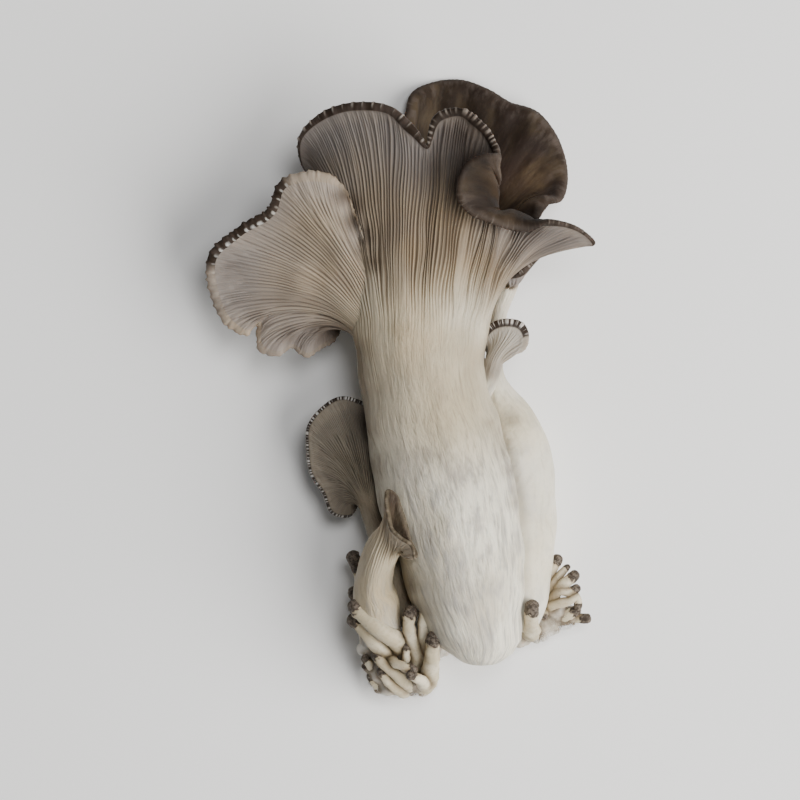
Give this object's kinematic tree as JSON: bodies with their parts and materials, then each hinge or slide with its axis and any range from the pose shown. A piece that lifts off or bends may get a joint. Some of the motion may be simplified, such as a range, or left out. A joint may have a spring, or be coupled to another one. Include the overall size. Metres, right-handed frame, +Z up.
{
  "type": "oyster mushroom cluster",
  "caption": "Cut cluster of oyster mushrooms lying on its back, gills up: funnel cap, side fans, pale stems and a base with small pin mushrooms.",
  "frame": {"origin": "centre of the cluster's box at the surface it lies on", "axes": "+Y from the cut base to the caps, +X to the right as seen from above with the caps up, +Z up from the surface"},
  "size_m": [0.109, 0.1764, 0.0581],
  "materials": {
    "cap_and_gill_flesh": "matte",
    "pale_stem_flesh": "satin",
    "small_cap_flesh": "matte",
    "olive_cap_flesh": "matte",
    "curled_stem_flesh": "satin",
    "base_flesh": "matte"
  },
  "bodies": {
    "root": {"main_mushroom": "cap_and_gill_flesh", "right_mushroom": "pale_stem_flesh", "small_right_mushroom": "small_cap_flesh", "left_mushroom": "olive_cap_flesh", "curled_mushroom": "curled_stem_flesh", "base_with_pins": "base_flesh"}
  },
  "joints": []
}
